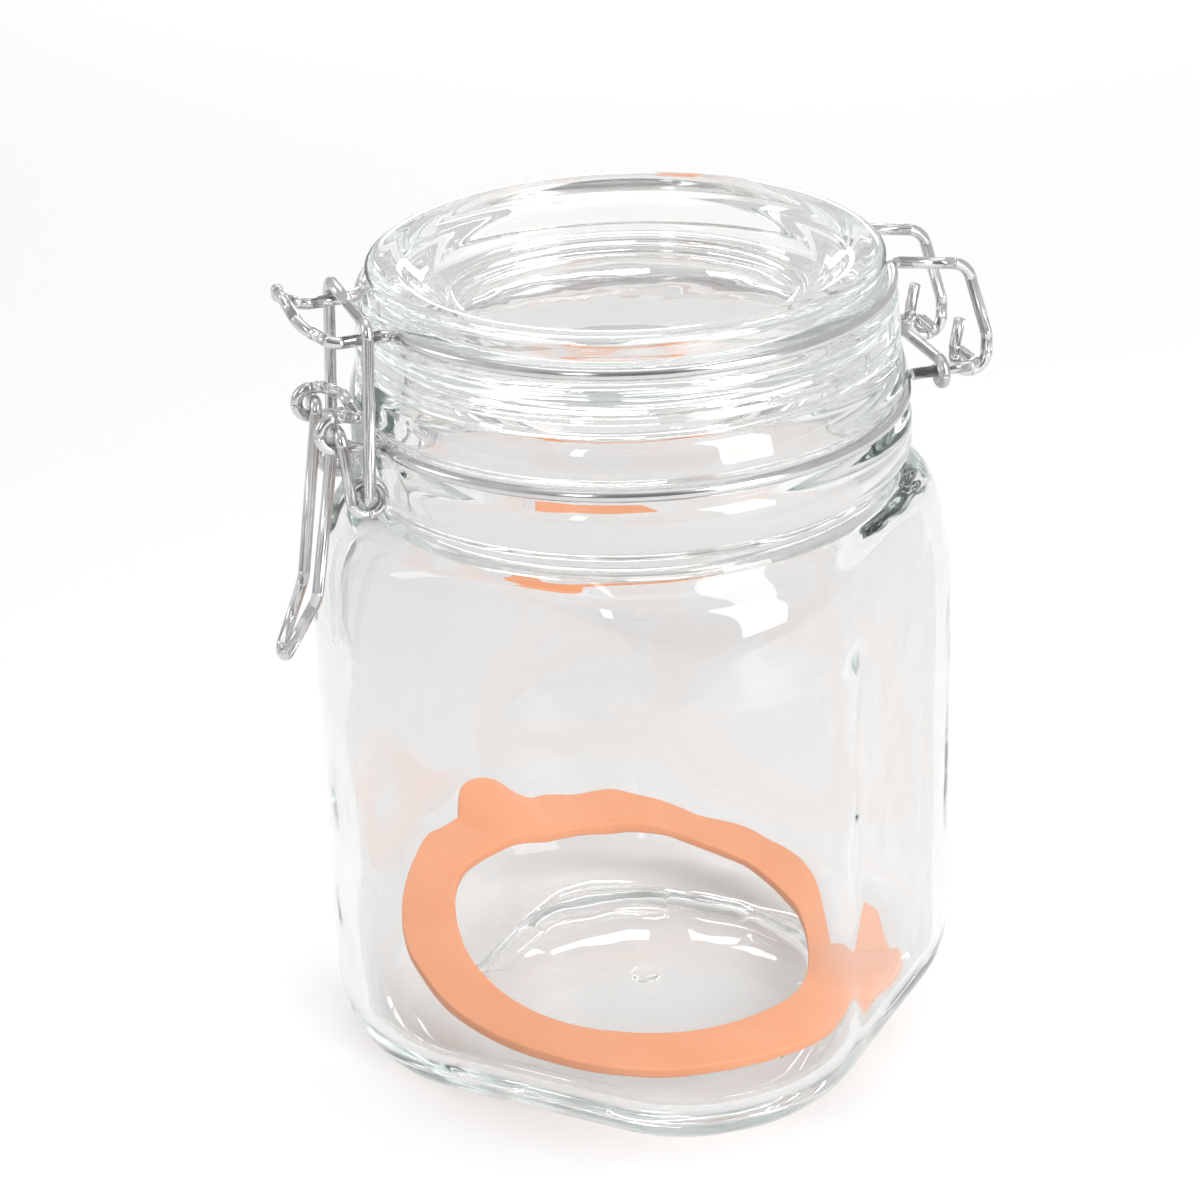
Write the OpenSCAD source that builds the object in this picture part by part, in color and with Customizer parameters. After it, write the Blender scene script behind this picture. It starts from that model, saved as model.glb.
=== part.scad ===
// Clip-top storage jar: square glass body, glass lid and a three-wire bail closure.
// Millimetres, +Z up, origin on the jar's axis at the plane it stands on.
// The clasp is at -Y, the hinge at +Y. The body's flat sides face 45 degrees off the axes.

/* [Jar body] */
// Width across the body's flat sides
body_w = 107; // [104:1:110]
// Radius of the body's four upright corners
corner_r = 35.5; // [34:0.5:37]
// Radius that rounds the body into its base
heel_r = 18; // [16:1:20]
// Radius of the same rounding inside
floor_heel_r = 9; // [8:0.5:10]
// Height where the upright walls end and the shoulder starts
shoulder_z = 92; // [90:1:94]
// Wall thickness of the body
wall = 4.5; // [4:0.5:5]
// Thickness of the floor
floor_t = 8; // [7:0.5:9]

/* [Neck] */
// Height where the shoulder meets the neck
neck_z = 114.5; // [114:0.5:115]
// Height of the jar's lip
lip_z = 140; // [139.8:0.1:140]
// Inner radius of the mouth
mouth_r = 42.5; // [41.5:0.5:43]
// Radius of the bead under the neck wire
bead_r = 51.3; // [51:0.1:51.4]

/* [Lid] */
// Height of the lid's rim
lid_top_z = 157.4; // [157:0.1:158]
// Radius of the lid's flange
flange_r = 49.3; // [49:0.1:49.4]
// Radius of the lid's upper drum
drum_r = 46.4; // [46:0.1:46.4]
// Radius of the dish in the lid's top
dish_r = 36; // [35:0.5:37]
// Play between the lid and the jar's lip
lid_play = 0.15; // [0.1:0.05:0.2]

/* [Wires] */
// Diameter of every wire
wire_d = 2.2; // [2.1:0.1:2.2]
// Radius of the lid wire's hoop, at the wire's centre
lid_hoop_r = 47.6; // [47.6:0.1:47.8]
// Height of the lid wire's hoop
lid_hoop_z = 151.6; // [151.6:0.1:151.8]
// Radius of the neck wire's hoop, at the wire's centre
neck_hoop_r = 50.06; // [50.05:0.01:50.1]
// Height of the neck wire's hoop, its rear rods and the hinge pins
neck_hoop_z = 130.6; // [130.5:0.1:130.7]

/* [Hinge] */
// Distance of the hinge pins behind the jar's axis
hinge_y = 63; // [63:0.1:63.5]
// Half the distance between the two J-hooks
hook_x = 10.3; // [10.2:0.1:10.4]
// Half the distance between the two rear rods
rod_x = 13.6; // [13.5:0.1:13.8]

/* [Clasp] */
// Distance of the lever's pivots in front of the jar's axis
pivot_y = 56.7; // [56.6:0.1:56.8]
// Height of the lever's pivots
pivot_z = 134.2; // [134.1:0.1:134.3]
// Distance of the bail's lower ends in front of the jar's axis
bail_y = 52.8; // [52.7:0.1:52.9]
// Height of the bail's lower ends
bail_z = 121.9; // [121.8:0.1:122]
// Height of the bail's top bar
bar_z = 154.6; // [154.5:0.1:154.8]

/* [Gasket] */
// Outer radius of the rubber ring
gasket_r = 45.5; // [44.5:0.5:45.5]
// Radius of the rubber ring's hole
gasket_hole_r = 34.5; // [34:0.5:36]
// Thickness of the rubber
gasket_t = 2; // [1.5:0.1:2.2]

/* [Hidden] */

wire_r = wire_d / 2;
core_step = 0.04;
core_reach = 0.15;
round_fn = 96;
wire_fn = 24;
big = 200;

// ---- Wire work: a wire is a list of corners, each bent to its own radius ----

function unit(v) = v / norm(v);
// How far before a corner its bend starts
function bend_cut(a, b, c, r) =
    let (u = unit(a - b), v = unit(c - b), opening = acos(u * v)) r / tan(opening / 2);
// Where the bend at corner i starts, seen along the direction towards its neighbour
function bend_end(pts, bends, i, towards) =
    let (reach = (i == 0 || i == len(pts) - 1) ? 0
            : bend_cut(pts[i - 1], pts[i], pts[i + 1], bends[i]))
    pts[i] + unit(pts[towards] - pts[i]) * reach;
function frame_of(x, y, z, at) =
    [[x[0], y[0], z[0], at[0]], [x[1], y[1], z[1], at[1]], [x[2], y[2], z[2], at[2]], [0, 0, 0, 1]];
// A direction square to v
function square_to(v) = unit(cross(v, abs(v[2]) < 0.9 ? [0, 0, 1] : [1, 0, 0]));

// A straight length is a hair thinner than the bends and reaches a little way into each of them
module straight(a, b) {
    along = unit(b - a);
    side = square_to(along);
    multmatrix(frame_of(side, cross(along, side), along, a - along * core_reach))
        cylinder(h = norm(b - a) + 2 * core_reach, d = wire_d - core_step, $fn = wire_fn);
}

module bend(a, b, c, r) {
    u = unit(a - b);
    v = unit(c - b);
    opening = acos(u * v);
    centre = b + unit(u + v) * r / sin(opening / 2);
    out = unit(b + u * bend_cut(a, b, c, r) - centre);
    multmatrix(frame_of(out, -u, cross(out, -u), centre))
        rotate_extrude(angle = 180 - opening, $fn = r > 10 ? round_fn * 2 : 48)
            translate([r, 0]) circle(d = wire_d, $fn = wire_fn);
}

module wire(pts, bends) {
    for (i = [0 : len(pts) - 2])
        straight(bend_end(pts, bends, i, i + 1), bend_end(pts, bends, i + 1, i));
    for (i = [1 : len(pts) - 2])
        bend(pts[i - 1], pts[i], pts[i + 1], bends[i]);
}

function flip(p) = [-p[0], p[1], p[2]];
// The whole of a wire that is the same on both sides, from its +X half
function both_sides(half) = concat([for (i = [len(half) - 1 : -1 : 0]) flip(half[i])], half);
function both_bends(half) = concat([for (i = [len(half) - 1 : -1 : 0]) half[i]], half);

// Corners of a hoop of radius r that runs from its front end to its rear end on the +X side.
// Each end angle is where the wire leaves the circle along its tangent, towards the plane x = lane.
function hoop_front(r, angle, lane, z) = [lane, (lane * sin(angle) - r) / cos(angle), z];
function hoop_rear(r, angle, lane, z) = [lane, (r - lane * sin(angle)) / cos(angle), z];
// A corner that bends to the hoop's own arc between two angles
function hoop_corner(r, from, to, z) =
    let (mid = (from + to) / 2, reach = r / cos((to - from) / 2))
    [reach * sin(mid), -reach * cos(mid), z];

// ---- Glass ----

module rounded_square(w, r) {
    half = w / 2 - r;
    rotate(45) union() {
        square([w - 2 * r, w], center = true);
        square([w, w - 2 * r], center = true);
        for (x = [-half, half], y = [-half, half]) translate([x, y]) circle(r, $fn = round_fn);
    }
}

// Upright solid between two flat sides, with its lower edges rounded to radius r
module heeled_slab(w, r, low, high) {
    rotate([90, 0, 0]) linear_extrude(big, center = true) union() {
        translate([-w / 2, low + r]) square([w, high - low - r]);
        translate([-w / 2 + r, low]) square([w - 2 * r, high - low]);
        for (x = [-1, 1]) translate([x * (w / 2 - r), low + r]) circle(r, $fn = round_fn);
    }
}

// Points of a quarter of an ellipse, from its side (0 degrees) to its top (90 degrees)
function arc_points(cx, cz, rx, rz, from, to, steps) =
    [for (i = [0 : steps]) let (a = from + (to - from) * i / steps) [cx + rx * cos(a), cz + rz * sin(a)]];

// Solid of the body's outline: rounded-square walls, round shoulder and round heel.
// inset is 0 for the outside and the wall's thickness for the cavity.
module body_form(inset, low, top_r, heel) {
    w = body_w - 2 * inset;
    r = corner_r - inset;
    reach = (w / 2 - r) * sqrt(2) + r;
    shoulder_h = neck_z - shoulder_z;
    intersection() {
        translate([0, 0, low]) linear_extrude(neck_z - low) rounded_square(w, r);
        rotate(45) heeled_slab(w + 0.6, heel, low, neck_z + 1);
        rotate(-45) heeled_slab(w + 0.6, heel, low, neck_z + 1);
        rotate_extrude($fn = round_fn) polygon(concat(
            [[0, low]],
            arc_points(reach + 0.4 - heel, low + heel, heel, heel, -90, 0, 12),
            arc_points(top_r, shoulder_z, reach + 0.4 - top_r, shoulder_h, 0, 90, 16),
            [[0, neck_z]]));
    }
}

neck_base_r = 48.8;
groove_r = neck_hoop_r - wire_r - 0.1;
collar_r = 50.6;
clasp_flat_y = 48.1;
clasp_flat_w = 32;

module neck_form() {
    rotate_extrude($fn = round_fn) polygon([
        [0, neck_z - 0.5],
        [neck_base_r, neck_z - 0.5],
        [neck_base_r, 118],
        [bead_r - 0.8, 119.6],
        [bead_r, 121],
        [bead_r, 126.6],
        [bead_r - 0.8, 128],
        [groove_r, 129.2],
        [groove_r, 132],
        [collar_r, 133],
        [collar_r, 134.2],
        [flange_r, 138.4],
        [flange_r - 1.2, lip_z],
        [0, lip_z]]);
}

module jar() {
    color([0.86, 0.9, 0.88, 0.4])
    difference() {
        union() {
            body_form(0, 0, neck_base_r - 0.4, heel_r);
            neck_form();
        }
        body_form(wall, floor_t, mouth_r - 0.4, floor_heel_r);
        translate([0, 0, neck_z - 2]) cylinder(r = mouth_r, h = lip_z - neck_z + 4, $fn = round_fn);
        // Flat on the bead, where the lever's rings lie
        translate([-clasp_flat_w / 2, -clasp_flat_y - 10, neck_z + 0.2])
            cube([clasp_flat_w, 10, 128.9 - neck_z - 0.2]);
    }
}

flange_low = lip_z + lid_play;
flange_high = lid_hoop_z - wire_r - 0.1;

module lid() {
    color([0.88, 0.91, 0.9, 0.4])
    rotate_extrude($fn = round_fn) polygon([
        [0, 142.6],
        [36, 142.6],
        [38.5, 136],
        [41, 136],
        [41.8, flange_low],
        [flange_r - 0.8, flange_low],
        [flange_r, flange_low + 0.8],
        [flange_r, flange_high - 2],
        [flange_r - 0.6, flange_high - 0.6],
        [flange_r - 2, flange_high],
        [drum_r, flange_high + 0.4],
        [drum_r, lid_top_z - 1.4],
        [drum_r - 1.2, lid_top_z],
        [dish_r + 4.5, lid_top_z],
        [dish_r, lid_top_z - 2.6],
        [dish_r - 4, 148.6],
        [0, 148.6]]);
}

// ---- Rubber ----

gasket_tilt = 10;
gasket_turn = 50;
// Where the two pull tabs are, as angles round the ring
tab_angles = [10, 149];
gasket_centre = [-0.5, -1.5, 20.5];
// Radius of each pull tab, and how far inside the ring's edge its centre lies
tab_r = 5;
tab_inset = 1.5;

module gasket() {
    color([0.98, 0.6, 0.42])
    translate(gasket_centre) rotate([0, 0, gasket_turn]) rotate([0, gasket_tilt, 0])
    linear_extrude(gasket_t, center = true) difference() {
        union() {
            circle(gasket_r, $fn = round_fn);
            for (a = tab_angles) rotate(a) translate([gasket_r - tab_inset, 0]) circle(tab_r, $fn = 48);
        }
        circle(gasket_hole_r, $fn = round_fn);
    }
}

// ---- Wires ----

tongue_x = 10.9;
module lid_wire() {
    lane = tongue_x;
    front = 16;
    rear = 15;
    hook_low = neck_hoop_z - wire_d - 0.1;
    hook_w = 3.2;
    half = [
        [1.8, -63.4, 158.2],
        [8.2, -61.9, 154.4],
        [lane, -57, lid_hoop_z - 0.2],
        hoop_front(lid_hoop_r, front, lane, lid_hoop_z),
        hoop_corner(lid_hoop_r, front, 180 - rear, lid_hoop_z),
        hoop_rear(lid_hoop_r, rear, hook_x, lid_hoop_z),
        [hook_x, 62, lid_hoop_z - 2.4],
        [hook_x, hinge_y + hook_w, 135],
        [hook_x, hinge_y + hook_w, hook_low],
        [hook_x, hinge_y - hook_w, hook_low],
        [hook_x, hinge_y - hook_w, 133.5],
        [hook_x, hinge_y - hook_w + 0.9, 138.5]];
    bends = [3, 6, 5, 3, lid_hoop_r, 2.6, 4.5, 6, hook_w - 0.02, hook_w - 0.02, 4, 0];
    color([0.72, 0.73, 0.74]) wire(both_sides(half), both_bends(bends));
}

eye_y = 57.1;
eye_z = 133.9;
eye_r = 2.75;
module neck_wire() {
    lane = 8.65;
    front = 13;
    rear = 18;
    half = [
        [6.6, -51.9, 135.3],
        [7.9, -55.4, eye_z + eye_r],
        [8.3, -eye_y - eye_r, eye_z + eye_r],
        [8.6, -eye_y - eye_r, eye_z - eye_r],
        hoop_front(neck_hoop_r, front, lane, neck_hoop_z),
        hoop_corner(neck_hoop_r, front, 180 - rear, neck_hoop_z),
        hoop_rear(neck_hoop_r, rear, rod_x, neck_hoop_z),
        [rod_x, hinge_y, neck_hoop_z],
        [6.3, hinge_y, neck_hoop_z]];
    bends = [1.4, 1.5, eye_r - 0.02, eye_r - 0.02, 3, neck_hoop_r, 2.5, 1.8, 0];
    color([0.72, 0.73, 0.74]) wire(both_sides(half), both_bends(bends));
}

module tie_wire() {
    y = 55.2;
    wrap = wire_d + 0.1;
    half = [
        [rod_x + wrap, y, neck_hoop_z + wrap],
        [rod_x + wrap, y + 0.3, neck_hoop_z - wrap],
        [rod_x - wrap, y + 0.6, neck_hoop_z - wrap],
        [rod_x - wrap, y + 0.9, neck_hoop_z - 0.1]];
    bends = [wrap - 0.02, wrap - 0.02, wrap - 0.04, 0];
    color([0.66, 0.67, 0.68]) wire(both_sides(half), both_bends(bends));
}

ring_y = 52.4;
ring_z = 121.6;
ring_r = 2.75;
arm_x = 10.9;
module lever() {
    half = [
        [1.9, -67.5, 89.6],
        [5, -61.6, 101.5],
        [6.2, -pivot_y, pivot_z],
        [arm_x, -pivot_y, pivot_z],
        [arm_x, -ring_y - ring_r, ring_z - ring_r],
        [arm_x - 0.4, -ring_y + ring_r, ring_z - ring_r],
        [arm_x - 1.3, -ring_y + ring_r, ring_z + ring_r],
        [8.7, -ring_y - ring_r, ring_z + ring_r],
        [8.6, -ring_y - ring_r, ring_z - 0.4]];
    bends = [1.7, 8, 1.8, 1.8, ring_r - 0.05, ring_r - 0.05, ring_r - 0.05, ring_r - 0.1, 0];
    color([0.72, 0.73, 0.74]) wire(both_sides(half), both_bends(bends));
}

bail_x = 13.3;
module bail() {
    half = [
        [bail_x, -51.3, bar_z],
        [bail_x, -bail_y, bail_z],
        [7.6, -bail_y, bail_z]];
    bends = [2.2, 1.6, 0];
    color([0.72, 0.73, 0.74]) wire(both_sides(half), both_bends(bends));
}

jar();
lid();
gasket();
lid_wire();
neck_wire();
tie_wire();
lever();
bail();
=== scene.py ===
"""Clip-top storage jar: square glass body, hinged glass lid, wire clasp and a loose rubber ring."""
import math

import bpy
from mathutils import Matrix, Vector, noise


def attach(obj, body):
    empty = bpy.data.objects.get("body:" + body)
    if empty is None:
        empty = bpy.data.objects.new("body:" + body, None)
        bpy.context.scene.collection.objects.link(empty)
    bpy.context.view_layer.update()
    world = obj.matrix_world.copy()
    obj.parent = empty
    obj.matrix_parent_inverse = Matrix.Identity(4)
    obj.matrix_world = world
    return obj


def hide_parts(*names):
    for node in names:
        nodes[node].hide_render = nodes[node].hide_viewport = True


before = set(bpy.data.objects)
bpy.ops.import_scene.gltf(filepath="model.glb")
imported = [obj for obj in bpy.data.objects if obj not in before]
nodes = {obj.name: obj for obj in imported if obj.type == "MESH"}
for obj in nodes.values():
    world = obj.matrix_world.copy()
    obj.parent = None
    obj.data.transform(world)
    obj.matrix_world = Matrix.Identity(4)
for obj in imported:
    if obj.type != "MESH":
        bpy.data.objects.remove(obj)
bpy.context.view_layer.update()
MM = 0.001


# ------------------------------------------------------------------ the jar
# The body is pressed and blown from clear soda-lime glass. It is square with soft upright corners
# that lie on the X and Y axes, a round shoulder and a round neck whose bead, groove and collar
# hold the neck wire. The base is pushed up in the middle, so that the jar stands on a ring.

JAR_SEGMENTS = 256
HALF_WIDTH = 53.5 * MM
CORNER_R = 35.5 * MM
CORNER_REACH = (HALF_WIDTH - CORNER_R) * math.sqrt(2) + CORNER_R
DOME_SPARE = 0.4 * MM
WALL = 4.5 * MM
HEEL_R = 18 * MM
INNER_HEEL_R = 9 * MM
FLOOR_Z = 8 * MM
SHOULDER_Z = 92 * MM
NECK_Z = 114.5 * MM
LIP_Z = 140 * MM
CLASP_FLAT_Y = -48.1 * MM


def bare():
    """Nothing is selected, so that the next operator acts on new geometry only."""
    bpy.ops.object.select_all(action="DESELECT")


def rounded(corners, steps=5):
    """Points of an outline in millimetres, each corner (r, z, cut) rounded over its cut length."""
    points = []
    for i, (r, z, cut) in enumerate(corners):
        here = Vector((r, z))
        if cut == 0 or i in (0, len(corners) - 1):
            points.append(here)
            continue
        back = Vector(corners[i - 1][:2]) - here
        ahead = Vector(corners[i + 1][:2]) - here
        start = here + back.normalized() * cut
        end = here + ahead.normalized() * cut
        for k in range(steps + 1):
            t = k / steps
            points.append(start * (1 - t) ** 2 + here * 2 * t * (1 - t) + end * t * t)
    return points


def quarter(centre_r, centre_z, reach_r, reach_z, start, end, steps):
    """Points of a quarter of an ellipse, in millimetres, between two angles in degrees."""
    angles = [math.radians(start + (end - start) * k / steps) for k in range(steps + 1)]
    return [Vector((centre_r + reach_r * math.cos(a), centre_z + reach_z * math.sin(a))) for a in angles]


def between(start, end, steps):
    """Evenly spaced points of a straight run, without its two ends."""
    return [Vector(start).lerp(Vector(end), k / steps) for k in range(1, steps)]


def turned(name, outline, segments):
    """Spins an outline, given in millimetres from the axis, once round the Z axis."""
    bare()
    bpy.ops.mesh.primitive_plane_add(size=MM, location=(0, 0, 0))
    piece = bpy.context.object
    piece.name = name
    bpy.ops.object.mode_set(mode="EDIT")
    bpy.ops.mesh.select_all(action="SELECT")
    bpy.ops.mesh.merge(type="CENTER")
    place = Vector((outline[0][0], 0, outline[0][1])) * MM
    bpy.ops.transform.translate(value=place)
    for r, z in outline[1:]:
        step = Vector((r, 0, z)) * MM - place
        if step.length < 0.01 * MM:
            continue
        bpy.ops.mesh.extrude_vertices_move(TRANSFORM_OT_translate={"value": step})
        place += step
    bpy.ops.mesh.select_all(action="SELECT")
    bpy.ops.mesh.spin(steps=segments, angle=math.tau, center=(0, 0, 0), axis=(0, 0, 1))
    bpy.ops.mesh.select_all(action="SELECT")
    bpy.ops.mesh.remove_doubles(threshold=0.004 * MM)
    bpy.ops.mesh.normals_make_consistent(inside=False)
    bpy.ops.object.mode_set(mode="OBJECT")
    return piece


def clamp(value):
    return max(0.0, min(1.0, value))


def ease(value):
    value = clamp(value)
    return value * value * (3 - 2 * value)


def square_reach(angle, inset):
    """Distance from the axis to the square outline at that angle, moved in by inset."""
    flat = HALF_WIDTH - inset
    corner = max(CORNER_R - inset, 1 * MM)
    off_corner = abs((angle + math.pi / 4) % (math.pi / 2) - math.pi / 4)
    to_flat = flat / math.cos(math.pi / 4 - off_corner)
    if to_flat * math.sin(math.pi / 4 - off_corner) <= flat - corner:
        return to_flat
    middle = (flat - corner) * math.sqrt(2)
    return middle * math.cos(off_corner) + math.sqrt(corner ** 2 - (middle * math.sin(off_corner)) ** 2)


def soft_lesser(a, b, width):
    """The lesser of two lengths, rounded off where they cross."""
    near = max(width - abs(a - b), 0) / width
    return min(a, b) - near * near * width / 4


def make_square(piece, inset, heel_top, unevenness):
    """Turns the round shell square below its shoulder. The shell's own radius stays the limit."""
    full = CORNER_REACH + DOME_SPARE - inset
    for vertex in piece.data.vertices:
        x, y, z = vertex.co
        r = math.hypot(x, y)
        if r < 0.5 * MM:
            continue
        angle = math.atan2(y, x)
        up_shoulder = clamp((z - SHOULDER_Z) / (NECK_Z - SHOULDER_Z))
        softness = (3 + 5 * math.sin(math.pi * up_shoulder)) * MM if up_shoulder < 1 else 0.2 * MM
        drawn_in = max(full - r, 0) if z < heel_top else 0
        held_in = min(drawn_in, HEEL_R)
        square = square_reach(angle, inset + held_in) * (full - drawn_in) / (full - held_in)
        new = soft_lesser(square, r, softness)
        new += (r - new) * ease((r - 0.2 * MM < full - HEEL_R) * (full - HEEL_R - r) / (9 * MM))
        ripple = noise.noise(Vector((x, y, z)) / (26 * MM)) + 0.35 * noise.noise(Vector((x, y, z)) / (9 * MM))
        new += ripple * unevenness * ease((z - heel_top) / (8 * MM)) * ease((LIP_Z - 4 * MM - z) / (6 * MM))
        vertex.co = (x * new / r, y * new / r, z)


REACH = (CORNER_REACH + DOME_SPARE) / MM
NECK_BASE = 48.4
outside = (
    [Vector((0, 3.2)), Vector((9, 3.1)), Vector((20, 2.7))]
    + rounded([(28, 2.2, 0), (33.5, 1.6, 2), (36.5, 0.6, 1.2), (39.5, 0, 1.2), (43.0, 0, 0)], 3)
    + quarter(REACH - 18, 18, 18, 18, -88, 0, 14)
    + between((REACH, 18), (REACH, 92), 16)
    + quarter(NECK_BASE, 92, REACH - NECK_BASE, 22.5, 0, 82, 24)
    + rounded([(49.2, 114.3, 0), (48.8, 115.6, 0.7), (48.8, 117.8, 1.2), (51.3, 120.3, 1.4),
               (51.3, 126.7, 1.4), (48.8, 129.3, 0.9), (48.8, 132.0, 0.7), (50.55, 133.5, 0.6),
               (50.4, 135.0, 0.8), (49.2, 138.6, 0.8), (47.9, 140.0, 0.7), (45.4, 140.0, 0)])
)
shell = turned("jar_shell", outside, JAR_SEGMENTS)
make_square(shell, 0, HEEL_R, 0.1 * MM)
for vertex in shell.data.vertices:
    x, y, z = vertex.co
    if z > NECK_Z and z < 130.5 * MM:
        limit = CLASP_FLAT_Y - 0.75 * MM * (1 - ease((z - NECK_Z) / (3 * MM)))
        vertex.co.y = max(y, limit)

INNER_REACH = REACH - 4.5
inside = (
    rounded([(45.4, 140.0, 0), (42.9, 140.0, 1.0), (42.5, 137.5, 1.2), (42.5, 116.6, 0)])
    + between((42.5, 116.6), (42.3, 114.9), 2)
    + quarter(42.1, 92, INNER_REACH - 42.1, 22.5, 84, 0, 24)
    + between((INNER_REACH, 92), (INNER_REACH, 17), 16)
    + quarter(INNER_REACH - 9, 17, 9, 9, 0, -90, 10)
    + rounded([(44.5, 8.0, 0), (38.5, 8.0, 2.5), (36.5, 8.5, 0.8), (34.5, 8.0, 0.8), (20, 8.25, 4),
               (3.2, 8.4, 0.5), (2.2, 8.9, 0.5), (0, 9.0, 0)], 3)
)
bore = turned("jar_bore", inside, JAR_SEGMENTS)
make_square(bore, WALL, FLOOR_Z + INNER_HEEL_R, 0.42 * MM)

bare()
bore.select_set(True)
shell.select_set(True)
bpy.context.view_layer.objects.active = shell
bpy.ops.object.join()
jar = bpy.context.object
jar.name = "jar_glass"
bpy.ops.object.mode_set(mode="EDIT")
bpy.ops.mesh.select_all(action="SELECT")
bpy.ops.mesh.remove_doubles(threshold=0.004 * MM)
bpy.ops.mesh.normals_make_consistent(inside=False)
bpy.ops.object.mode_set(mode="OBJECT")
bpy.ops.object.shade_smooth_by_angle(angle=math.radians(50))


def pressed_glass(name, tint, ripple_scale, ripple_height):
    """Clear glass: faintly green in its depth, with the shallow ripples of a mould's skin."""
    material = bpy.data.materials.new(name)
    material.use_nodes = True
    tree = material.node_tree
    surface = tree.nodes["Principled BSDF"]
    surface.inputs["Base Color"].default_value = (*tint, 1)
    surface.inputs["Roughness"].default_value = 0.0
    surface.inputs["IOR"].default_value = 1.5
    surface.inputs["Transmission Weight"].default_value = 1.0
    place = tree.nodes.new("ShaderNodeTexCoord")
    ripple = tree.nodes.new("ShaderNodeTexNoise")
    ripple.inputs["Scale"].default_value = ripple_scale
    ripple.inputs["Detail"].default_value = 2.0
    bump = tree.nodes.new("ShaderNodeBump")
    bump.inputs["Strength"].default_value = 0.5
    bump.inputs["Distance"].default_value = ripple_height
    tree.links.new(place.outputs["Object"], ripple.inputs["Vector"])
    tree.links.new(ripple.outputs["Fac"], bump.inputs["Height"])
    tree.links.new(bump.outputs["Normal"], surface.inputs["Normal"])
    depth = tree.nodes.new("ShaderNodeVolumeAbsorption")
    depth.inputs["Color"].default_value = (0.55, 0.70, 0.65, 1)
    depth.inputs["Density"].default_value = 3.0
    tree.links.new(depth.outputs["Volume"], tree.nodes["Material Output"].inputs["Volume"])
    return material


jar.data.materials.clear()
jar.data.materials.append(pressed_glass("clear_jar_glass", (0.875, 0.868, 0.865), 55, 0.10 * MM))
# Clear glass hardly shades what stands behind it
jar.visible_shadow = False
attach(jar, "jar")
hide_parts("jar")


# ------------------------------------------------------------------ the lid
# One pressing of the same glass: a plug that drops into the mouth, a flange that sits on the jar's
# lip, and a drum with a dished top. A row of fine beads runs round the drum's upper edge.

BEADS = 288
BEAD_STEPS = 2
lid_outline = (
    [Vector((0, 142.7)), Vector((12, 142.7)), Vector((24, 142.7))]
    + rounded([(33.5, 142.7, 0), (36.0, 142.3, 1.2), (38.4, 136.4, 1.2), (40.9, 136.4, 0.9),
               (41.7, 140.2, 0.8), (48.6, 140.2, 0.5), (49.25, 140.9, 0.5), (49.25, 143.3, 0.4),
               (48.85, 144.0, 0.4), (48.85, 148.9, 0.8), (47.7, 150.2, 0.6), (46.35, 150.6, 0.5)])
    + between((46.35, 151.1), (46.35, 155.0), 4)
    + [Vector((46.35, 155.0)), Vector((46.35, 155.6)), Vector((46.25, 156.2)), Vector((45.9, 156.8)),
       Vector((45.3, 157.2)), Vector((44.5, 157.38))]
    + rounded([(43.8, 157.4, 0), (40.9, 157.3, 1.5), (38.2, 155.6, 1.5), (35.2, 154.4, 1.5),
               (31.6, 149.3, 2.2), (28, 148.8, 1.5), (20, 148.65, 0)])
    + [Vector((10, 148.6)), Vector((0, 148.6))]
)
lid = turned("lid_glass", lid_outline, BEADS * BEAD_STEPS)
for vertex in lid.data.vertices:
    x, y, z = vertex.co
    r = math.hypot(x, y)
    on_edge = ease(1 - abs(z - 156.1 * MM) / (0.9 * MM)) * (r > 44.9 * MM)
    swell = max(0.0, math.cos(math.atan2(y, x) * BEADS)) * 0.32 * MM * on_edge
    wave = noise.noise(Vector((x, y, z)) / (14 * MM)) * 0.12 * MM
    if r < 1 * MM:
        continue
    inner = ease((40 * MM - r) / (8 * MM))
    vertex.co = (x * (r + swell) / r, y * (r + swell) / r, z + swell * 0.5 + wave * inner)
bare()
lid.select_set(True)
bpy.context.view_layer.objects.active = lid
bpy.ops.object.shade_smooth_by_angle(angle=math.radians(55))
lid.data.materials.clear()
lid.data.materials.append(pressed_glass("clear_lid_glass", (0.955, 0.95, 0.945), 70, 0.12 * MM))
lid.visible_shadow = False
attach(lid, "lid")
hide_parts("lid")


# ------------------------------------------------------------------ the rubber ring
# A flat ring stamped from soft orange rubber, with two pull tabs. It isn't fitted: it was dropped
# into the jar and lies on the heel of the floor, tilted and slightly out of flat.

RING_SEGMENTS = 360
RING_HOLE_R = 34.5 * MM
RING_R = 45.5 * MM
RING_CENTRE = Vector((-0.5, -1.5, 18.6)) * MM
RING_TILT = math.radians(10)
LOW_SIDE = math.radians(42)
# Each tab's angle and length, and how steeply it is turned up along the glass
TABS = ((60, 4.2 * MM, 1.1), (199, 5.6 * MM, 0.5))
TAB_HALF_TURN = math.radians(11.5)

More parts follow.
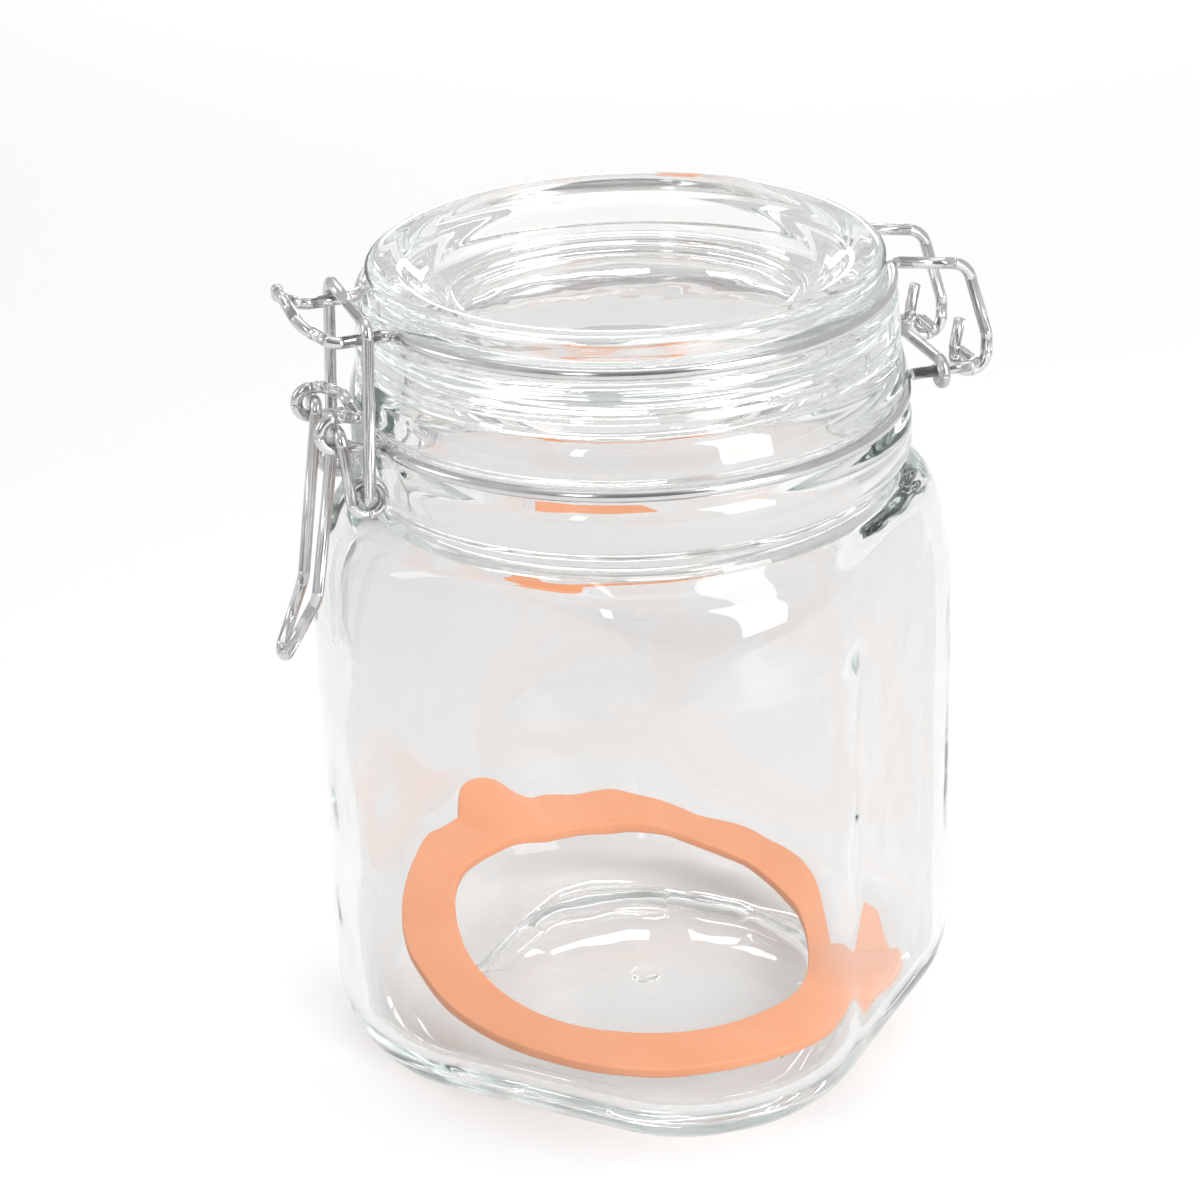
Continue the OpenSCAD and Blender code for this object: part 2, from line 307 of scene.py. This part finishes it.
section = rounded([(34.5, 0, 0), (34.5, 1.0, 0.35), (37.3, 1.0, 0), (40, 1.0, 0), (42.8, 1.0, 0),
                   (45.5, 1.0, 0.35), (45.5, -1.0, 0.35), (42.8, -1.0, 0), (40, -1.0, 0),
                   (37.3, -1.0, 0), (34.5, -1.0, 0.35), (34.5, 0, 0)], 3)
ring = turned("rubber_ring", section, RING_SEGMENTS)
for vertex in ring.data.vertices:
    x, y, z = vertex.co
    r = math.hypot(x, y)
    angle = math.atan2(y, x)
    out = clamp((r - RING_HOLE_R) / (RING_R - RING_HOLE_R))
    for degrees, length, turn_up in TABS:
        away = abs((angle - math.radians(degrees) + math.pi) % math.tau - math.pi) / TAB_HALF_TURN
        tab = length * (1 - min(away, 1) ** 2.6) ** 1.3 * out
        r += tab
        z += tab * turn_up
    z += (0.8 * math.sin(2 * angle + 0.6) + 0.6 * math.sin(3 * angle + 1.1)) * MM
    z += 0.25 * MM * math.sin(7 * angle) * out
    sloped = RING_CENTRE + Vector((r * math.cos(angle), r * math.sin(angle), z))
    sloped.z -= math.tan(RING_TILT) * r * math.cos(angle - LOW_SIDE)
    vertex.co = sloped
bare()
ring.select_set(True)
bpy.context.view_layer.objects.active = ring
bpy.ops.object.shade_smooth_by_angle(angle=math.radians(40))


def orange_rubber():
    """Matt moulded rubber: evenly orange, with a fine grain and faint paler bloom."""
    material = bpy.data.materials.new("orange_rubber")
    material.use_nodes = True
    tree = material.node_tree
    surface = tree.nodes["Principled BSDF"]
    surface.inputs["Roughness"].default_value = 0.62
    surface.inputs["Specular IOR Level"].default_value = 0.35
    surface.inputs["Subsurface Weight"].default_value = 0.12
    surface.inputs["Subsurface Radius"].default_value = (1.0, 0.45, 0.2)
    surface.inputs["Subsurface Scale"].default_value = 1.5 * MM
    place = tree.nodes.new("ShaderNodeTexCoord")
    bloom = tree.nodes.new("ShaderNodeTexNoise")
    bloom.inputs["Scale"].default_value = 90
    bloom.inputs["Detail"].default_value = 4
    shade = tree.nodes.new("ShaderNodeValToRGB")
    shade.color_ramp.elements[0].position = 0.3
    shade.color_ramp.elements[0].color = (0.68, 0.258, 0.105, 1)
    shade.color_ramp.elements[1].position = 0.72
    shade.color_ramp.elements[1].color = (0.72, 0.295, 0.135, 1)
    grain = tree.nodes.new("ShaderNodeTexNoise")
    grain.inputs["Scale"].default_value = 2600
    grain.inputs["Detail"].default_value = 3
    bump = tree.nodes.new("ShaderNodeBump")
    bump.inputs["Strength"].default_value = 0.35
    bump.inputs["Distance"].default_value = 0.05 * MM
    tree.links.new(place.outputs["Object"], bloom.inputs["Vector"])
    tree.links.new(place.outputs["Object"], grain.inputs["Vector"])
    tree.links.new(bloom.outputs["Fac"], shade.inputs["Fac"])
    tree.links.new(shade.outputs["Color"], surface.inputs["Base Color"])
    tree.links.new(grain.outputs["Fac"], bump.inputs["Height"])
    tree.links.new(bump.outputs["Normal"], surface.inputs["Normal"])
    return material


ring.data.materials.clear()
ring.data.materials.append(orange_rubber())
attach(ring, "gasket")
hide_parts("gasket")


# ------------------------------------------------------------------ the wires
# Five bent lengths of zinc-coated steel wire. Their bends are the ones of the frame, and each is
# drawn smooth here, with the zinc's faint mottle and the fine scratches that the bending left.

def zinc_wire(name, grey, roughness):
    material = bpy.data.materials.new(name)
    material.use_nodes = True
    tree = material.node_tree
    surface = tree.nodes["Principled BSDF"]
    surface.inputs["Metallic"].default_value = 1.0
    place = tree.nodes.new("ShaderNodeTexCoord")
    mottle = tree.nodes.new("ShaderNodeTexNoise")
    mottle.inputs["Scale"].default_value = 260
    mottle.inputs["Detail"].default_value = 5
    shade = tree.nodes.new("ShaderNodeValToRGB")
    shade.color_ramp.elements[0].position = 0.32
    shade.color_ramp.elements[0].color = (grey * 0.92, grey * 0.92, grey * 0.93, 1)
    shade.color_ramp.elements[1].position = 0.62
    shade.color_ramp.elements[1].color = (grey, grey * 1.0, grey * 1.01, 1)
    gloss = tree.nodes.new("ShaderNodeMapRange")
    gloss.inputs["To Min"].default_value = roughness - 0.03
    gloss.inputs["To Max"].default_value = roughness + 0.04
    scratch = tree.nodes.new("ShaderNodeTexNoise")
    scratch.inputs["Scale"].default_value = 4000
    scratch.inputs["Detail"].default_value = 3
    bump = tree.nodes.new("ShaderNodeBump")
    bump.inputs["Strength"].default_value = 0.1
    bump.inputs["Distance"].default_value = 0.002 * MM
    tree.links.new(place.outputs["Object"], mottle.inputs["Vector"])
    tree.links.new(place.outputs["Object"], scratch.inputs["Vector"])
    tree.links.new(mottle.outputs["Fac"], shade.inputs["Fac"])
    tree.links.new(shade.outputs["Color"], surface.inputs["Base Color"])
    tree.links.new(mottle.outputs["Fac"], gloss.inputs["Value"])
    tree.links.new(gloss.outputs["Result"], surface.inputs["Roughness"])
    tree.links.new(scratch.outputs["Fac"], bump.inputs["Height"])
    tree.links.new(bump.outputs["Normal"], surface.inputs["Normal"])
    return material


bright_zinc = zinc_wire("bright_zinc", 0.66, 0.17)
dull_zinc = zinc_wire("dull_zinc", 0.55, 0.28)


def drawn_wire(node, material):
    """A smooth copy of one wire of the frame."""
    mesh = nodes[node].data.copy()
    piece = bpy.data.objects.new(node + "_steel", mesh)
    bpy.context.scene.collection.objects.link(piece)
    bare()
    piece.select_set(True)
    bpy.context.view_layer.objects.active = piece
    bpy.ops.object.mode_set(mode="EDIT")
    bpy.ops.mesh.select_all(action="SELECT")
    bpy.ops.mesh.remove_doubles(threshold=0.002 * MM)
    bpy.ops.object.mode_set(mode="OBJECT")
    bpy.ops.object.shade_smooth_by_angle(angle=math.radians(40))
    mesh.materials.clear()
    mesh.materials.append(material)
    return piece


for node, body, slot, material in (
        ("lid_wire", "lid", "wire", bright_zinc),
        ("neck_wire", "jar", "wire", bright_zinc),
        ("tie_wire", "jar", "tie", dull_zinc),
        ("lever", "lever", "wire", bright_zinc),
        ("bail", "bail", "wire", bright_zinc)):
    wire = drawn_wire(node, material)
    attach(wire, body)
    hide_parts(node)


# ------------------------------------------------------------------ studio
# A white table in a white room under large soft lamps, seen from the front left above the clasp.

bare()
bpy.ops.mesh.primitive_plane_add(size=6, location=(0, 0, -0.02 * MM))
table = bpy.context.object
table.name = "table"
matt_white = bpy.data.materials.new("matt_white")
matt_white.use_nodes = True
matt_white.node_tree.nodes["Principled BSDF"].inputs["Base Color"].default_value = (0.90, 0.90, 0.898, 1)
matt_white.node_tree.nodes["Principled BSDF"].inputs["Roughness"].default_value = 1.0
matt_white.node_tree.nodes["Principled BSDF"].inputs["Specular IOR Level"].default_value = 0.0
table.data.materials.append(matt_white)

room = bpy.data.worlds.new("room")
room.use_nodes = True
bpy.context.scene.world = room
tree = room.node_tree
place = tree.nodes.new("ShaderNodeTexCoord")
# The white room has one dim side, towards which the front of the jar faces
dim_side = tree.nodes.new("ShaderNodeVectorMath")
dim_side.operation = "DOT_PRODUCT"
dim_side.inputs[1].default_value = (0.92, -0.30, 0.25)
walls = tree.nodes.new("ShaderNodeValToRGB")
walls.color_ramp.interpolation = "EASE"
walls.color_ramp.elements[0].position = 0.62
walls.color_ramp.elements[0].color = (0.70, 0.70, 0.70, 1)
walls.color_ramp.elements[1].position = 0.93
walls.color_ramp.elements[1].color = (0.24, 0.24, 0.24, 1)
tree.links.new(place.outputs["Generated"], dim_side.inputs[0])
tree.links.new(dim_side.outputs["Value"], walls.inputs["Fac"])
tree.links.new(walls.outputs["Color"], tree.nodes["Background"].inputs["Color"])
tree.nodes["Background"].inputs["Strength"].default_value = 1.0


def soft_lamp(name, location, size, size_y, power):
    light = bpy.data.lights.new(name, "AREA")
    light.shape = "RECTANGLE"
    light.size = size
    light.size_y = size_y
    light.energy = power
    lamp = bpy.data.objects.new(name, light)
    lamp.location = location
    aim = Vector((0, 0, 0.08)) - Vector(location)
    lamp.rotation_euler = aim.to_track_quat("-Z", "Y").to_euler()
    lamp.visible_camera = False
    bpy.context.scene.collection.objects.link(lamp)


soft_lamp("lamp_above", (-0.25, 0.1, 1.5), 1.0, 1.0, 3.4)
soft_lamp("lamp_front_right", (0.86, 0.45, 0.56), 0.42, 1.0, 8.6)
soft_lamp("lamp_front_left", (0.74, -0.62, 0.62), 0.10, 0.45, 1.0)
soft_lamp("lamp_left", (-0.30, -1.30, 0.70), 0.35, 0.70, 2)
soft_lamp("lamp_behind_left", (-1.25, 0.28, 0.40), 0.30, 0.12, 1.2)
soft_lamp("lamp_behind_right", (-1.10, 0.62, 0.40), 0.30, 0.12, 1.2)

azimuth = math.radians(72.28)
elevation = math.radians(24.72)
roll = math.radians(-1.97)
back = Vector((math.sin(azimuth) * math.cos(elevation), -math.cos(azimuth) * math.cos(elevation),
               math.sin(elevation)))
right = Vector((math.cos(azimuth), math.sin(azimuth), 0))
up = back.cross(right)
aim = Vector((0, 0, 88.52 * MM)) - right * 6.58 * MM
camera_data = bpy.data.cameras.new("camera")
camera_data.sensor_width = 36
camera_data.lens = 104.27
camera_data.clip_start = 0.01
camera = bpy.data.objects.new("camera", camera_data)
turned_right = right * math.cos(roll) + up * math.sin(roll)
turned_up = up * math.cos(roll) - right * math.sin(roll)
camera.matrix_world = Matrix.LocRotScale(
    aim + back * 649.35 * MM, Matrix((turned_right, turned_up, back)).transposed(), None)
bpy.context.scene.collection.objects.link(camera)
bpy.context.scene.camera = camera
bpy.context.scene.view_settings.view_transform = "Standard"
# Light is reflected many times inside thick glass before it comes out
bpy.context.scene.cycles.max_bounces = 64
bpy.context.scene.cycles.glossy_bounces = 64
bpy.context.scene.cycles.transmission_bounces = 64
